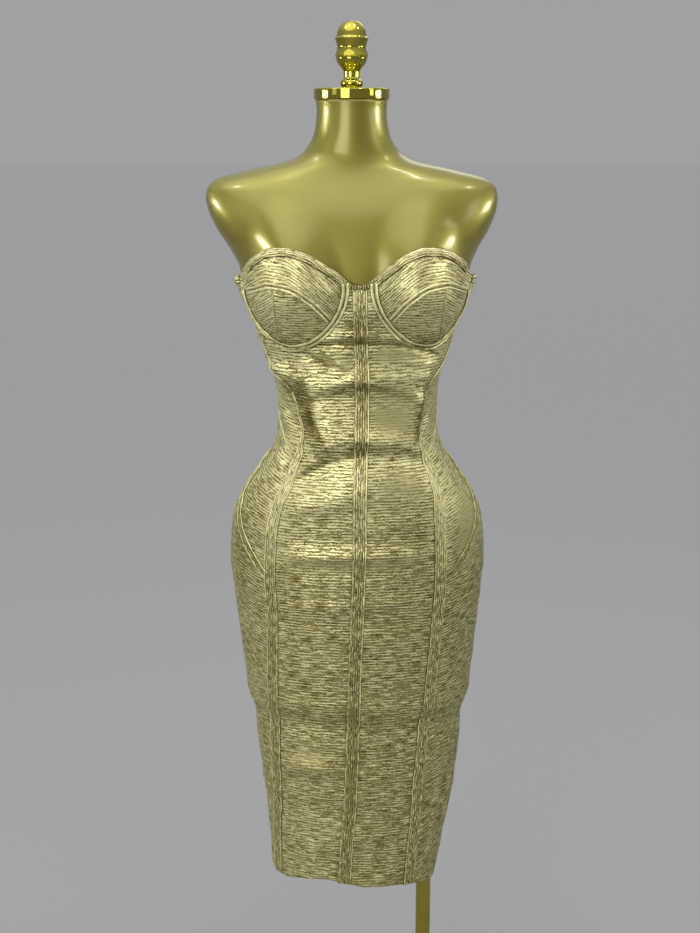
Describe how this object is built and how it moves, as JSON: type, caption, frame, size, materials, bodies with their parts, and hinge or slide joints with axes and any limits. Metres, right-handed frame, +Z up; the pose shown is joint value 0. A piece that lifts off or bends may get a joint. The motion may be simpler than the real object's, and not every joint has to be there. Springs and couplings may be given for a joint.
{
  "type": "bodycon dress on a limbless dress form with its stand",
  "caption": "Strapless bodycon midi dress in gold foil knit, with underwired cups and taped seams, worn by a limbless dress form on a pole stand.",
  "frame": {"origin": "middle of the stand's base, where it rests on the floor", "axes": "+Z up, the dress's front faces -Y, the wearer's left is +X"},
  "size_m": [0.4, 0.4, 1.5991],
  "materials": {
    "foil_knit": "ribbed bandage knit with a cracked gold foil print, soft metallic sheen",
    "foil_tape": "ribbed gold foil tape with raised edges",
    "form_paint": "glossy metallic olive gold paint",
    "polished_gold": "mirror polish",
    "zip_metal": "satin"
  },
  "bodies": {
    "dress_and_form": {"front_panel_l": "foil_knit", "front_panel_r": "foil_knit", "side_front_panel_l": "foil_knit", "side_front_panel_r": "foil_knit", "hip_panel_l": "foil_knit", "hip_panel_r": "foil_knit", "back_panel_l": "foil_knit", "back_panel_r": "foil_knit", "upper_cup_l": "foil_knit", "upper_cup_r": "foil_knit", "lower_cup_inner_l": "foil_knit", "lower_cup_inner_r": "foil_knit", "lower_cup_outer_l": "foil_knit", "lower_cup_outer_r": "foil_knit", "centre_front_tape": "foil_tape", "princess_tape_l": "foil_tape", "princess_tape_r": "foil_tape", "hip_tape_l": "foil_tape", "hip_tape_r": "foil_tape", "underwire_channel_l": "foil_tape", "underwire_channel_r": "foil_tape", "cup_band_l": "foil_tape", "cup_band_r": "foil_tape", "neckline_binding_l": "foil_tape", "neckline_binding_r": "foil_tape", "back_binding_l": "foil_tape", "back_binding_r": "foil_tape", "gore_binding": "foil_tape", "zip_slider": "zip_metal", "display_form": "form_paint", "neck_cap": "polished_gold", "neck_finial": "polished_gold", "stand_pole": "polished_gold", "stand_base": "polished_gold"},
    "pull": {"zip_pull": "zip_metal"}
  },
  "joints": [
    {"name": "pull_swing", "type": "hinge", "parent": "dress_and_form", "child": "pull", "pos_m": [0.00085, 0.09136, 1.22773], "axis": [0.9999, 0.0139, 0], "range_deg": [-8, 150]}
  ]
}
